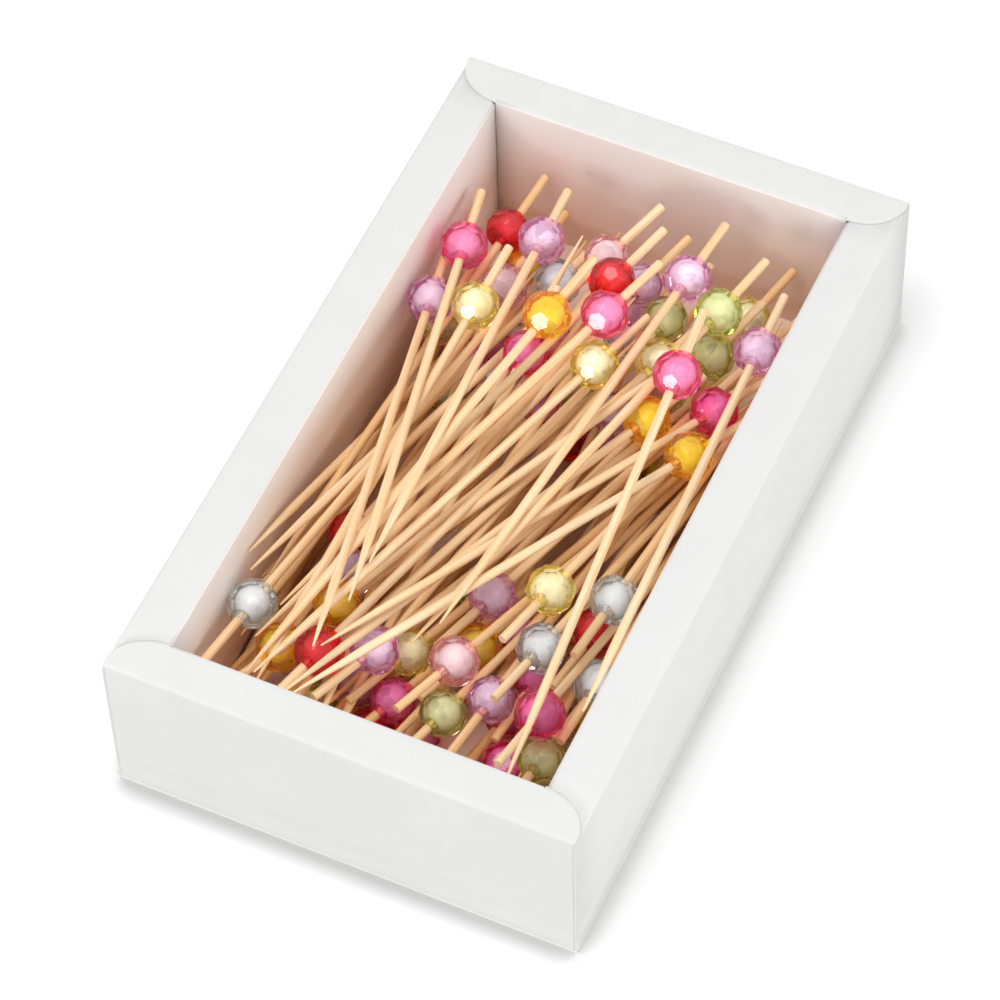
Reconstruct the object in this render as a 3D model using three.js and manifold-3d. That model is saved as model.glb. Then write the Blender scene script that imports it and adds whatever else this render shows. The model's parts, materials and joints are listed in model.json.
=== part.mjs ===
// A shallow folded-card tray filled with ball cocktail picks.
// Each pick is a bamboo skewer with a clear faceted bead near its blunt end.
// Millimetres, +Z up. X runs across the tray, +Y to its far end, and the origin is
// the middle of the tray's underside.

import * as THREE from 'three';
import { mergeVertices } from 'three/addons/utils/BufferGeometryUtils.js';
import Module from 'manifold-3d';

const wasm = await Module();
wasm.setup();

// Tray
const TRAY_LENGTH = 176;
const TRAY_WIDTH = 104;
const TRAY_HEIGHT = 42;
const SIDE_RIM = 10.6;
const END_RIM = 10.1;
const CARD = 0.5;
const EAR_POINTS = 8;

// Pick
const PICK_LENGTH = 120;
const STICK_DIAMETER = 2;
const TAPER_LENGTH = 20;
const TIP_DIAMETER = 0.5;
const BEAD_DIAMETER = 10.7;
const BEAD_FROM_END = 17;
const CORE_DIAMETER = 7.4;
const FIT_GAP = 0.3;

// Facets
const STICK_SIDES = 8;
const BEAD_SIDES = 9;
const BEAD_BANDS = 4;
const CORE_BANDS = 3;
const BURIED_SIDES = 6;

// Pile
const PICK_GAP = 0.3;
const BURIED_OVERLAP = 0.6;
const HIDDEN_COUNT = 52;
const HIDDEN_SEED = 48;
const HIDDEN_HEADING = 10;
const HIDDEN_TURN = 14;
const HIDDEN_ROUND = 5;
const FAR_IN_ROUND = 3;
const NEAR_BAND = [22, 62];
const FAR_BAND = [8, 54];
const START_RISE = 0.7;
const TOP_RISE = 2;
const SETTLE_STEPS = 900;
const STILL_STEPS = 200;
const SINK = 0.3;
const PULL = 0.4;
const BLUNT_WEIGHT = 3;
const TIP_WEIGHT = 1;

// Where the photograph was taken from, and the height its places were measured at
const VIEW_POINT = new THREE.Vector3(244, -503, 797);
const MEASURED_HEIGHT = 30;

const STICK_RADIUS = STICK_DIAMETER / 2;
const BEAD_RADIUS = BEAD_DIAMETER / 2;
const CORE_RADIUS = CORE_DIAMETER / 2;
const BORE_RADIUS = STICK_RADIUS + FIT_GAP;
const CAVITY_RADIUS = CORE_RADIUS + FIT_GAP;
const TIP_FROM_BEAD = PICK_LENGTH - BEAD_FROM_END;
const BEAD_SHARE = BEAD_FROM_END / PICK_LENGTH;
const TAPER_SHARE = 1 - TAPER_LENGTH / PICK_LENGTH;
const INNER_X = TRAY_WIDTH / 2 - SIDE_RIM;
const INNER_Y = TRAY_LENGTH / 2 - END_RIM;
const SIDE_RIM_TOP = TRAY_HEIGHT - CARD;

const COLOURS = {
  rose: 0xe8408c,
  ruby: 0xc8141e,
  magenta: 0xc81e64,
  blush: 0xf0b4be,
  lilac: 0xc08cd2,
  clear: 0xc8d2d6,
  cream: 0xe6d670,
  amber: 0xf0b41e,
  green: 0xb4c85a,
  olive: 0x8c8c32,
};

// Picks that show in the pile: name, its bead's place across and along the tray, which way
// its blunt end points in degrees from the far end towards the right, and its bead's colour.
// Each was measured by eye to the millimetre and the degree, as it would lie flat at the
// measured height. They go from the lowest up.

// Picks whose beads show but whose sticks lie deep in the pile
const BURIED_PICKS = [
  ['amber_far_low', -22, 47, 8, 'amber'],
  ['olive_right_low', 30, 39, 16, 'olive'],
  ['cream_far_right', 30, 56, 12, 'cream'],
  ['blush_far', -5, 55, 20, 'blush'],
  ['clear_far', -13, 46, 15, 'clear'],
  ['blush_far_low', -21, 40, 6, 'blush'],
  ['ruby_far', -2, 50, 16, 'ruby'],
  ['lilac_far_low', 5, 52, 15, 'lilac'],
  ['olive_far', 14, 46, 10, 'olive'],
  ['cream_far_low', 16, 35, 18, 'cream'],
  ['amber_near_low', -25, -63, -155, 'amber'],
  ['ruby_near_low', -16, -66, -165, 'ruby'],
  ['olive_near_corner', 35, -66, -172, 'olive'],
  ['cream_near_low', 0, -54, -160, 'cream'],
  ['amber_near_middle', 14, -47, -165, 'amber'],
  ['magenta_near_low', 2, -66, -160, 'magenta'],
  ['magenta_near_middle', 25, -50, -174, 'magenta'],
  ['ruby_near_right', 34, -34, -172, 'ruby'],
  ['olive_near', 9, -63, -160, 'olive'],
  ['magenta_near', 30, -56, -166, 'magenta'],
  ['clear_near_right', 35, -45, -172, 'clear'],
  ['lilac_near_right', 18, -57, -171, 'lilac'],
  ['ruby_left', -29, 56, 6, 'ruby'],
];

// Picks that show from bead to tip, with other ones across them
const COVERED_PICKS = [
  ['clear_near_left', -33, -56, -174, 'clear'],
  ['lilac_near_left', -6, -56, -159, 'lilac'],
  ['blush_near', 7, -50, -156, 'blush'],
  ['clear_near_middle', 23, -40, -161, 'clear'],
  ['lilac_near_far', 9, -34, -162, 'lilac'],
  ['cream_near_far', 19, -28, -165, 'cream'],
  ['clear_near_far', 32, -24, -169, 'clear'],
  ['amber_right', 33, 13, 31, 'amber'],
  ['amber_middle', 21, 19, 24, 'amber'],
  ['magenta_right', 32, 27, 30, 'magenta'],
  ['green_right', 24, 51, 13, 'green'],
  ['rose_middle', 1, 42, 19, 'rose'],
  ['amber_top', -10, 36, 10, 'amber'],
  ['cream_left', -26, 33, 0, 'cream'],
];

// Picks at the top of the pile, with the bead's clear shell and its milky core apart
const TOP_PICKS = [
  ['cream_middle', 4, 29, 17, 'cream'],
  ['lilac_left', -38, 31, -13, 'lilac'],
  ['rose_left', -35, 47, -11, 'rose'],
  ['lilac_far_left', -20, 55, -3, 'lilac'],
  ['lilac_far_right', 12, 58, 6, 'lilac'],
  ['lilac_right', 35, 45, -3, 'lilac'],
  ['rose_right', 21, 32, -5, 'rose'],
];

function finish(colour, roughness) {
  return new THREE.MeshStandardMaterial({ color: colour, roughness, metalness: 0 });
}

const CARD_WHITE = finish(0xf2f2f0, 0.85);
const BAMBOO = finish(0xe6c48c, 0.7);
const CORE_WHITE = finish(0xf4eef2, 0.5);

function namedMesh(name, geometry, material) {
  const mesh = new THREE.Mesh(geometry, material);
  mesh.name = name;
  return mesh;
}

// Solids for joining

const SAME_POINT = 1e-5;

function toSolid(geometry) {
  const bare = geometry.clone();
  bare.deleteAttribute('normal');
  bare.deleteAttribute('uv');
  const merged = mergeVertices(bare, SAME_POINT);
  const index = merged.index.array;
  const corners = [];
  for (let i = 0; i < index.length; i += 3) {
    const [a, b, c] = [index[i], index[i + 1], index[i + 2]];
    if (a !== b && b !== c && c !== a) corners.push(a, b, c);
  }
  return new wasm.Manifold(new wasm.Mesh({
    numProp: 3,
    vertProperties: new Float32Array(merged.attributes.position.array),
    triVerts: new Uint32Array(corners),
  }));
}

function toGeometry(solid) {
  const mesh = solid.getMesh();
  const geometry = new THREE.BufferGeometry();
  geometry.setAttribute('position', new THREE.Float32BufferAttribute(mesh.vertProperties, 3));
  geometry.setIndex(new THREE.Uint32BufferAttribute(mesh.triVerts, 1));
  geometry.computeVertexNormals();
  return geometry;
}

// Tray

function box(x0, x1, y0, y1, z0, z1) {
  const geometry = new THREE.BoxGeometry(x1 - x0, y1 - y0, z1 - z0);
  return geometry.translate((x0 + x1) / 2, (y0 + y1) / 2, (z0 + z1) / 2);
}

function join(pieces) {
  return pieces.map(toSolid).reduce((whole, piece) => whole.add(piece));
}

// A side wall is folded down on itself: outer face, rim and inner face, open below
function sideWall(side) {
  const halfWidth = TRAY_WIDTH / 2;
  const halfLength = TRAY_LENGTH / 2;
  const outer = box(halfWidth - CARD, halfWidth, -halfLength, halfLength, CARD, SIDE_RIM_TOP);
  const rimEnd = halfLength - CARD - FIT_GAP;
  const rim = box(INNER_X, halfWidth, -rimEnd, rimEnd, SIDE_RIM_TOP - CARD, SIDE_RIM_TOP);
  const inner = box(INNER_X, INNER_X + CARD, -INNER_Y, INNER_Y, CARD, SIDE_RIM_TOP);
  const geometry = toGeometry(join([outer, rim, inner]));
  if (side < 0) geometry.rotateZ(Math.PI);
  return geometry;
}

// The end rim reaches out over both side rims in ears. An ear's free edge is a quarter arc
// from the inner corner of the rims to the outer corner of the tray.
function endRimOutline() {
  const halfWidth = TRAY_WIDTH / 2;
  const halfLength = TRAY_LENGTH / 2;
  const shape = new THREE.Shape();
  shape.moveTo(-halfWidth, halfLength);
  shape.absellipse(-INNER_X, halfLength, SIDE_RIM, END_RIM, Math.PI, Math.PI * 1.5, false);
  shape.lineTo(INNER_X, INNER_Y);
  shape.absellipse(INNER_X, halfLength, SIDE_RIM, END_RIM, -Math.PI / 2, 0, false);
  return shape;
}

function endWall(end) {
  const halfWidth = TRAY_WIDTH / 2;
  const halfLength = TRAY_LENGTH / 2;
  const wallEnd = halfWidth - CARD - FIT_GAP;
  const innerEnd = INNER_X - FIT_GAP;
  const outer = box(-wallEnd, wallEnd, halfLength - CARD, halfLength, CARD, TRAY_HEIGHT);
  const inner = box(-innerEnd, innerEnd, INNER_Y, INNER_Y + CARD, CARD, TRAY_HEIGHT);
  const rim = new THREE.ExtrudeGeometry(endRimOutline(), {
    depth: CARD,
    bevelEnabled: false,
    curveSegments: EAR_POINTS,
  });
  rim.translate(0, 0, TRAY_HEIGHT - CARD);
  const geometry = toGeometry(join([outer, inner, rim]));
  if (end < 0) geometry.rotateZ(Math.PI);
  return geometry;
}

function tray() {
  const group = new THREE.Group();
  const halfWidth = TRAY_WIDTH / 2;
  const halfLength = TRAY_LENGTH / 2;
  const floor = box(-halfWidth, halfWidth, -halfLength, halfLength, 0, CARD);
  group.add(namedMesh('tray_floor', floor, CARD_WHITE));
  group.add(namedMesh('side_wall_left', sideWall(-1), CARD_WHITE));
  group.add(namedMesh('side_wall_right', sideWall(1), CARD_WHITE));
  group.add(namedMesh('end_wall_near', endWall(-1), CARD_WHITE));
  group.add(namedMesh('end_wall_far', endWall(1), CARD_WHITE));
  return group;
}

// Pick pieces, each along Z with the bead's centre at the origin and the blunt end up

function stickProfile() {
  return [
    new THREE.Vector2(0, -TIP_FROM_BEAD),
    new THREE.Vector2(TIP_DIAMETER / 2, -TIP_FROM_BEAD),
    new THREE.Vector2(STICK_RADIUS, -TIP_FROM_BEAD + TAPER_LENGTH),
    new THREE.Vector2(STICK_RADIUS, BEAD_FROM_END),
    new THREE.Vector2(0, BEAD_FROM_END),
  ];
}

function stickGeometry() {
  return new THREE.LatheGeometry(stickProfile(), STICK_SIDES).rotateX(Math.PI / 2);
}

// Points of an arc about the origin, from the hole's edge below to its edge above
function ballArc(radius, holeRadius, bands) {
  const edge = Math.asin(holeRadius / radius);
  const points = [];
  for (let i = 0; i <= bands; i += 1) {
    const angle = edge + (Math.PI - 2 * edge) * (i / bands);
    points.push(new THREE.Vector2(radius * Math.sin(angle), -radius * Math.cos(angle)));
  }
  return points;
}

function closedLathe(points) {
  const profile = [...points, points[0].clone()];
  return new THREE.LatheGeometry(profile, BEAD_SIDES).rotateX(Math.PI / 2);
}

function boredBall(radius, bands) {
  return closedLathe(ballArc(radius, BORE_RADIUS, bands));
}

function beadShell() {
  const outside = ballArc(BEAD_RADIUS, BORE_RADIUS, BEAD_BANDS);
  const cavity = ballArc(CAVITY_RADIUS, BORE_RADIUS, CORE_BANDS).reverse();
  return closedLathe([...outside, ...cavity]);
}

// Settling the pile
// Every pick is a straight rod with a ball on it. All of them sink a little at a time, and
// after each step any two that come too close are pushed apart, until the pile lies still.

// Draws of a fixed series between 0 and 1
const SERIES_FACTOR = 16807;
const SERIES_END = 2147483647;

function drawSeries(seed) {
  let state = seed;
  return () => {
    state = (state * SERIES_FACTOR) % SERIES_END;
    return state / SERIES_END;
  };
}

function rodAt(x, y, heading, z) {
  const turn = THREE.MathUtils.degToRad(heading);
  const direction = new THREE.Vector3(Math.sin(turn), Math.cos(turn), 0);
  const bead = new THREE.Vector3(x, y, z);
  const rod = {
    blunt: bead.clone().addScaledVector(direction, BEAD_FROM_END),
    tip: bead.clone().addScaledVector(direction, -TIP_FROM_BEAD),
  };
  rod.wantedBead = bead.clone().setZ(MEASURED_HEIGHT);
  rod.wantedTip = rod.tip.clone().setZ(MEASURED_HEIGHT);
  rod.side = new THREE.Vector3(direction.y, -direction.x, 0);
  return rod;
}

function pointOn(rod, share) {
  return rod.blunt.clone().lerp(rod.tip, share);
}

function shiftRod(rod, shift) {
  rod.blunt.add(shift);
  rod.tip.add(shift);
}

// Moves the point at a share of the rod, and turns the rod as its weight allows
function pushRod(rod, share, push) {
  const give = giveAt(share);
  rod.blunt.addScaledVector(push, (1 - share) / BLUNT_WEIGHT / give);
  rod.tip.addScaledVector(push, share / TIP_WEIGHT / give);
}

function giveAt(share) {
  return (1 - share) * (1 - share) / BLUNT_WEIGHT + share * share / TIP_WEIGHT;
}

function pushApart(a, shareA, b, shareB, reach) {
  const between = pointOn(a, shareA).sub(pointOn(b, shareB));
  const distance = between.length();
  if (distance >= reach) return;
  const giveA = giveAt(shareA);
  const giveB = giveAt(shareB);
  const push = between.multiplyScalar((reach - distance) / distance);
  pushRod(a, shareA, push.clone().multiplyScalar(giveA / (giveA + giveB)));
  pushRod(b, shareB, push.multiplyScalar(-giveB / (giveA + giveB)));
}

function nearestShare(rod, point) {
  const along = rod.tip.clone().sub(rod.blunt);
  const share = point.clone().sub(rod.blunt).dot(along) / along.lengthSq();
  return THREE.MathUtils.clamp(share, 0, 1);
}

// Where two rods pass closest, as a share of each
function crossing(a, b) {
  const u = a.tip.clone().sub(a.blunt);
  const v = b.tip.clone().sub(b.blunt);
  const w = a.blunt.clone().sub(b.blunt);
  const uv = u.dot(v);
  const spread = u.lengthSq() * v.lengthSq() - uv * uv;
  const meet = spread > 1 ? (uv * v.dot(w) - v.lengthSq() * u.dot(w)) / spread : 0.5;
  const shareB = nearestShare(b, pointOn(a, THREE.MathUtils.clamp(meet, 0, 1)));
  const shareA = nearestShare(a, pointOn(b, shareB));
  return [shareA, nearestShare(b, pointOn(a, shareA))];
}

// Buried picks press into each other, and the rest keep a gap
function gapBetween(a, b) {
  return a.buried && b.buried ? -BURIED_OVERLAP : PICK_GAP;
}

function radiusAt(share) {
  const taper = Math.min((1 - share) * PICK_LENGTH / TAPER_LENGTH, 1);
  return THREE.MathUtils.lerp(TIP_DIAMETER / 2, STICK_RADIUS, taper);
}

function partSticks(a, shareA, b, shareB, gap) {
  pushApart(a, shareA, b, shareB, radiusAt(shareA) + radiusAt(shareB) + gap);
}

function partTaper(a, b, gap) {
  partSticks(a, TAPER_SHARE, b, nearestShare(b, pointOn(a, TAPER_SHARE)), gap);
}

function partBeadFromStick(a, b, gap) {
  const share = nearestShare(b, pointOn(a, BEAD_SHARE));
  pushApart(a, BEAD_SHARE, b, share, BEAD_RADIUS + radiusAt(share) + gap);
}

function partPair(a, b) {
  const gap = gapBetween(a, b);
  const [shareA, shareB] = crossing(a, b);
  partSticks(a, shareA, b, shareB, gap);
  partTaper(a, b, gap);
  partTaper(b, a, gap);
  pushApart(a, BEAD_SHARE, b, BEAD_SHARE, 2 * BEAD_RADIUS + gap);
  partBeadFromStick(a, b, gap);
  partBeadFromStick(b, a, gap);
}

function keepInTray(rod) {
  const stops = [[0, STICK_RADIUS], [BEAD_SHARE, BEAD_RADIUS], [1, TIP_DIAMETER / 2]];
  for (const [share, radius] of stops) {
    const point = pointOn(rod, share);
    const room = radius + PICK_GAP;
    const inside = point.clone();
    inside.x = THREE.MathUtils.clamp(point.x, room - INNER_X, INNER_X - room);
    inside.z = Math.max(point.z, CARD + room);
    pushRod(rod, share, inside.sub(point));
    const along = THREE.MathUtils.clamp(point.y, room - INNER_Y, INNER_Y - room) - point.y;
    shiftRod(rod, new THREE.Vector3(0, along, 0));
  }
}

function keepLength(rod) {
  const along = rod.tip.clone().sub(rod.blunt);
  const stretch = along.length() - PICK_LENGTH;
  along.setLength(stretch / 2);
  rod.blunt.add(along);
  rod.tip.sub(along);
}

// How far a point lies from its place. A place that was measured lies on its line of sight.
function away(point, wanted, seen) {
  const height = Math.min(point.z, TRAY_HEIGHT);
  const rise = seen ? (height - wanted.z) / (VIEW_POINT.z - wanted.z) : 0;
  return wanted.clone().lerp(VIEW_POINT, rise).sub(point).setZ(0);
}

// Draws the bead to its place and turns the tip towards its own
function drift(rod, pull) {
  shiftRod(rod, away(pointOn(rod, BEAD_SHARE), rod.wantedBead, rod.seen).multiplyScalar(pull));
  const aside = away(rod.tip, rod.wantedTip, rod.seen).dot(rod.side);
  rod.tip.addScaledVector(rod.side, aside * pull);
}

function settle(rods) {
  for (let step = 0; step < SETTLE_STEPS; step += 1) {
    const left = 1 - step / (SETTLE_STEPS - STILL_STEPS);
    const sink = left > 0 ? SINK * left : 0;
    const pull = left > 0 ? PULL * left : 0;
    for (const rod of rods) {
      rod.blunt.z -= sink;
      rod.tip.z -= sink;
      drift(rod, pull);
    }
    for (let i = 0; i < rods.length; i += 1) {
      for (let j = 0; j < i; j += 1) partPair(rods[i], rods[j]);
      keepInTray(rods[i]);
      keepLength(rods[i]);
    }
  }
}

// Buried picks that no photograph shows. In each round the first have their beads at the far
// end and the others at the near end.
function hiddenPlaces() {
  const draw = drawSeries(HIDDEN_SEED);
  const reach = INNER_X - BEAD_RADIUS - PICK_GAP;
  const places = [];
  for (let i = 0; i < HIDDEN_COUNT; i += 1) {
    const near = i % HIDDEN_ROUND >= FAR_IN_ROUND;
    const band = near ? NEAR_BAND : FAR_BAND;
    const x = (2 * draw() - 1) * reach;
    const y = band[0] + (band[1] - band[0]) * draw();
    const turn = HIDDEN_HEADING + (2 * draw() - 1) * HIDDEN_TURN;
    places.push([x, near ? -y : y, near ? 180 + turn : turn]);
  }
  return places;
}

function poseOf(rod) {
  return {
    bead: pointOn(rod, BEAD_SHARE),
    direction: rod.blunt.clone().sub(rod.tip).normalize(),
  };
}

// The whole pile from the floor up: hidden picks, buried ones, covered ones, top ones
function layPile() {
  const rods = [];
  let height = BEAD_RADIUS;
  const lay = (x, y, heading, rise, marks) => {
    const rod = rodAt(x, y, heading, height);
    height += rise;
    rods.push(Object.assign(rod, marks));
    return rod;
  };
  const buried = [];
  for (const [x, y, heading] of hiddenPlaces()) {
    buried.push(lay(x, y, heading, START_RISE, { buried: true }));
  }
  for (const [, x, y, heading] of BURIED_PICKS) {
    buried.push(lay(x, y, heading, START_RISE, { buried: true, seen: true }));
  }
  const byName = (list, rise) => list.map(([name, x, y, heading, colour]) => {
    return { name, colour, rod: lay(x, y, heading, rise, { seen: true }) };
  });
  const covered = byName(COVERED_PICKS, START_RISE);
  const top = byName(TOP_PICKS, TOP_RISE);
  settle(rods);
  return { buried, covered, top };
}

// Placing pieces

const UP = new THREE.Vector3(0, 0, 1);

function placed(mesh, pose) {
  mesh.position.copy(pose.bead);
  mesh.quaternion.setFromUnitVectors(UP, pose.direction);
  return mesh;
}

// A buried pick is turned in one piece, stick and bead together
function wholePickGeometry() {
  const profile = [...stickProfile().slice(0, 3), ...ballArc(BEAD_RADIUS, STICK_RADIUS, BEAD_BANDS)];
  profile.push(...stickProfile().slice(3));
  return new THREE.LatheGeometry(profile, BURIED_SIDES).rotateX(Math.PI / 2);
}

function buriedSolid(rod) {
  const pose = poseOf(rod);
  const turn = new THREE.Quaternion().setFromUnitVectors(UP, pose.direction);
  const matrix = new THREE.Matrix4().compose(pose.bead, turn, new THREE.Vector3(1, 1, 1));
  return toSolid(wholePickGeometry()).transform(matrix.elements);
}

// Buried picks that press on each other are one piece
function buriedMeshes(rods) {
  const heap = wasm.Manifold.union(rods.map(buriedSolid));
  const lumps = heap.decompose();
  lumps.sort((a, b) => b.volume() - a.volume());
  return lumps.map((lump, i) => namedMesh(`buried_picks_${i + 1}`, toGeometry(lump), BAMBOO));
}

function coveredPick({ name, colour, rod }) {
  const pose = poseOf(rod);
  const group = new THREE.Group();
  const bead = boredBall(BEAD_RADIUS, BEAD_BANDS);
  group.add(placed(namedMesh(`${name}_stick`, stickGeometry(), BAMBOO), pose));
  group.add(placed(namedMesh(`${name}_bead`, bead, finish(COLOURS[colour], 0.15)), pose));
  return group;
}

function topPick({ name, colour, rod }) {
  const pose = poseOf(rod);
  const group = new THREE.Group();
  const core = boredBall(CORE_RADIUS, CORE_BANDS);
  group.add(placed(namedMesh(`${name}_stick`, stickGeometry(), BAMBOO), pose));
  group.add(placed(namedMesh(`${name}_bead_shell`, beadShell(), finish(COLOURS[colour], 0.15)), pose));
  group.add(placed(namedMesh(`${name}_bead_core`, core, CORE_WHITE), pose));
  return group;
}

const { buried, covered, top } = layPile();

const model = new THREE.Group();
model.add(tray());
model.add(...buriedMeshes(buried));
model.add(...covered.map(coveredPick));
model.add(...top.map(topPick));

export default model;
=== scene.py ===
"""The looks of a folded-card tray filled with ball cocktail picks.

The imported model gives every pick's place. Each pick gets a bamboo stick with grain, a clear
faceted ball with a bore and a milky core inside it, and the tray gets soft creases.
Lengths here are in millimetres until a mesh is made, which is in metres.
"""

import json
import math
import random

import bmesh
import bpy
import numpy as np
from mathutils import Matrix, Vector


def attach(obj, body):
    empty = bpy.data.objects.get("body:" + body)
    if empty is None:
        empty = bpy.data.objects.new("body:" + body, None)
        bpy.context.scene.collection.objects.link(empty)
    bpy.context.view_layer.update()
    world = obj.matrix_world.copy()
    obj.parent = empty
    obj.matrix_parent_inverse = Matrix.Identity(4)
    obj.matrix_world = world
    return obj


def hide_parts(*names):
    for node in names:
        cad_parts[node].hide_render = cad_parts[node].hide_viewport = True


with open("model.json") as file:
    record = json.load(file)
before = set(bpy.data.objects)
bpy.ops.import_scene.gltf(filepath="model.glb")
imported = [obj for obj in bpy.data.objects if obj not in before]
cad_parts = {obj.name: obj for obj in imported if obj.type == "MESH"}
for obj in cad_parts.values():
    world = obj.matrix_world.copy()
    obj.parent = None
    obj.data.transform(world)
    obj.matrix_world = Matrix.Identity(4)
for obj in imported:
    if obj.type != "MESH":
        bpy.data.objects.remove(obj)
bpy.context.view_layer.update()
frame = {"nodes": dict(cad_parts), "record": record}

MM = 0.001
SEED = 11
chance = random.Random(SEED)

# Camera in metres, from the tray's corners in the photograph, and the photograph's pixels
CAMERA_PLACE = Vector((0.2443, -0.5026, 0.7975))
CAMERA_FORWARD = Vector((-0.25848, 0.52081, -0.81360))
CAMERA_RIGHT = Vector((0.90868, 0.41691, -0.02180))
CAMERA_LENS = 163.1
CAMERA_SENSOR = 36.0
CAMERA_NEAR = 0.01
CAMERA_FAR = 20.0
PHOTO_SIZE = 1000

# Pick
PICK_LENGTH = 120.0
BEAD_FROM_END = 17.0
STICK_RADIUS = 1.0
STICK_SIDES = 14
TIP_RADIUS = 0.2
TAPER_LENGTH = 20.0
LEAST_TAPER = 0.8
TAPER_SHARES = (0.02, 0.15, 0.35, 0.6, 0.85, 1.0)
TAPER_SWELL = 0.05
SHAFT_HEIGHTS = (-60.0, -35.0, -10.0)
END_CHAMFER = 0.07
MOST_OVAL = 0.035
BEAD_RADIUS = 5.4
LEAST_BEAD_RADIUS = 4.9
HALF_BEAD_GAP = 0.02
BORE_RADIUS = 1.15
BORE_SIDES = 24
EDGE_SOFTNESS = 0.12
CORE_RADIUS = 2.8
CORE_SIDES = 28
CORE_ROWS = 12
CORE_CLEARANCE = 0.08

# Cutting the ball from an icosahedron: corners nearer than the limit share an edge, faces
# within the angle are one facet, and a facet faces up or down where its normal does nearly
NEIGHBOUR_LIMIT = 2.1
FLAT_ANGLE = 0.02
UPRIGHT = 0.999

# Greatest angle in degrees that still looks smooth
SMOOTH_STICK = 40
SMOOTH_CORE = 60
SMOOTH_CARD = 50

# How far apart in the grain's pattern, in millimetres, two sticks may start
GRAIN_SHIFT = 400

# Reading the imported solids: how near a face's plane its corners lie, the doubled area of a
# triangle that is left out, the steps in a millimetre that corners are compared in, and how
# much of a stick's length counts as its end
FLATNESS = 0.001
SLIVER = 1e-6
STEPS_PER_MM = 1e4
END_SLAB = 0.05

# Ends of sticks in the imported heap: the tip's radius, the allowances for a whole hexagon in
# area and reach, and the distances under which two beads are one pick's or are one bead
SOLID_TIP_RADIUS = 0.25
HEXAGON_ERROR = 0.04
HEXAGON_REACH = 1.03
SAME_PICK = 1.0
SAME_PLACE = 0.01

# Tray
TRAY_LENGTH = 176.0
TRAY_WIDTH = 104.0
TRAY_HEIGHT = 42.0
SIDE_RIM = 10.6
END_RIM = 10.1
CARD = 0.5
CREASE_RADIUS = 0.9
CORNER_GAP = 0.08
INNER_GAP = 0.02
EAR_INSET = 0.1
EAR_LIP = 0.4
HALF_WIDTH = TRAY_WIDTH / 2
HALF_LENGTH = TRAY_LENGTH / 2
INNER_X = HALF_WIDTH - SIDE_RIM
INNER_Y = HALF_LENGTH - END_RIM
SIDE_TOP = TRAY_HEIGHT - CARD
ARC_STEPS = 5
WALL_STEPS = 4
RIM_STEPS = 6
LONG_STEPS = 12
EAR_STEPS = 14
SAME_CORNER = 0.001
CARD_SHADE = 0.5

# Heights between which painted warm bounce light and shade on the inner faces grows
BOUNCE_PAINT_TOP = 40.0
BOUNCE_PAINT_FULL = 5.0

# Heights between which painted light makes the outer faces paler, where wall and table light each
# other
FOOT_LIGHT_TOP = 10.0
FOOT_LIGHT_FULL = 0.0

# Heights between which painted shade turns the sticks deeper and warmer in colour, low in the heap
SHADE_PAINT_TOP = 38.0
SHADE_PAINT_FULL = 8.0

# Bamboo: how the pattern is scaled across and along the stick, colours by place in a ramp, and
# how much of each layer shows
FIBRE_SCALE = (1.9, 1.9, 0.045)
FIBRE_COLOURS = [
    (0.30, (0.92, 0.615, 0.335)),
    (0.46, (0.96, 0.735, 0.455)),
    (0.60, (0.975, 0.81, 0.575)),
]
STREAK_SCALE = (5.5, 5.5, 0.10)
STREAK_COLOURS = [(0.56, (1, 1, 1)), (0.72, (0.78, 0.62, 0.44))]
STREAK_SHARE = 0.5
PATCH_SCALE = (0.3, 0.3, 0.05)
PATCH_COLOURS = [(0.35, (0.97, 0.92, 0.85)), (0.65, (1, 1, 1))]
PATCH_SHARE = 0.6
STICK_TONES = [(0.0, (0.97, 0.88, 0.78)), (0.5, (1, 0.97, 0.94)), (1.0, (1, 1, 1))]
PAINTED_SHADE_COLOURS = [(0.0, (1, 1, 1)), (1.0, (0.99, 0.78, 0.54))]

# How strongly each bead colour drinks red, green and blue light, per millimetre
TINTS = {
    "rose": (0.003, 0.210, 0.095),
    "ruby": (0.014, 0.720, 0.660),
    "magenta": (0.010, 0.300, 0.130),
    "blush": (0.003, 0.042, 0.032),
    "lilac": (0.009, 0.054, 0.019),
    "clear": (0.017, 0.011, 0.008),
    "cream": (0.001, 0.008, 0.070),
    "amber": (0.001, 0.060, 0.620),
    "green": (0.034, 0.026, 0.135),
    "olive": (0.034, 0.034, 0.140),
}

# The volume's density over the strongest of these, so that no colour in it is quite black
DENSITY_OVER_MOST = 1.02

# Colour of the faint haze in each plastic, its share of the surface, how much white its pale
# clouds get, and where in the noise these start and end
HAZES = {
    "rose": (0.95, 0.16, 0.32),
    "ruby": (0.68, 0.02, 0.03),
    "magenta": (0.88, 0.05, 0.26),
    "blush": (0.92, 0.42, 0.44),
    "lilac": (0.82, 0.36, 0.64),
    "clear": (0.62, 0.67, 0.67),
    "cream": (0.98, 0.80, 0.12),
    "amber": (0.95, 0.48, 0.02),
    "green": (0.60, 0.68, 0.12),
    "olive": (0.62, 0.62, 0.16),
}
HAZE_SHARE = 0.22
HAZE_WHITE = 0.12
HAZE_FROM = 0.35
HAZE_TO = 0.65

# Milky core: its clouds and its patches
CORE_MILK = [(0.35, (0.95, 0.95, 0.95)), (0.65, (0.99, 0.99, 0.99))]
CORE_PATCHES = [(0.1, (0.66, 0.64, 0.67)), (0.44, (1, 1, 1))]
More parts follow.
